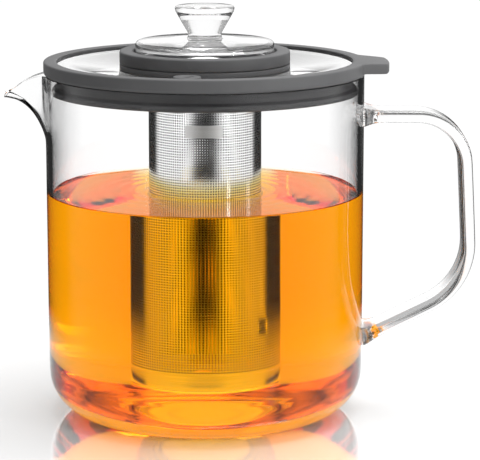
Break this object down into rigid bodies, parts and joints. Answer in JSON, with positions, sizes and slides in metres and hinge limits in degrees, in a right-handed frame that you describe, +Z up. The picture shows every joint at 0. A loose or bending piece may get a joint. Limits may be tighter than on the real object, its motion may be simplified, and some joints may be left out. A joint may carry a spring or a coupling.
{
  "type": "glass teapot",
  "caption": "Clear glass teapot: straight jug with pulled spout and strap handle, silicone-rimmed glass lid, lift-out perforated steel strainer and small knobbed glass lid.",
  "frame": {"origin": "centre of the flat base, on the axis of the jug, at the level of the table", "axes": "+Z up along the jug's axis; +X towards the handle and the lid's pull tab; -X towards the spout"},
  "size_m": [0.193, 0.1312, 0.1683],
  "materials": {
    "borosilicate_glass": "clear, fire-polished",
    "grey_silicone": "matte moulded silicone",
    "stainless_steel": "bright rolled sheet, etched holes",
    "tea": "clear amber liquid"
  },
  "bodies": {
    "pot": {"jug": "borosilicate_glass", "handle": "borosilicate_glass"},
    "lid": {"lid_rim": "grey_silicone", "lid_plate": "borosilicate_glass", "lid_collar": "grey_silicone", "vent_grommet": "grey_silicone"},
    "strainer": {"infuser_grip_ring": "grey_silicone", "infuser_shelf": "stainless_steel", "infuser_sleeve": "stainless_steel", "infuser_base": "stainless_steel"},
    "small_lid": {"inner_lid_glass": "borosilicate_glass", "knob": "borosilicate_glass"}
  },
  "joints": [
    {"name": "lid_lift", "type": "slide", "parent": "pot", "child": "lid", "axis": [0, 0, 1], "range_m": [0, 0.13]},
    {"name": "infuser_lift", "type": "slide", "parent": "lid", "child": "strainer", "axis": [0, 0, 1], "range_m": [0, 0.135]},
    {"name": "inner_lid_lift", "type": "slide", "parent": "strainer", "child": "small_lid", "axis": [0, 0, 1], "range_m": [0, 0.05]}
  ]
}
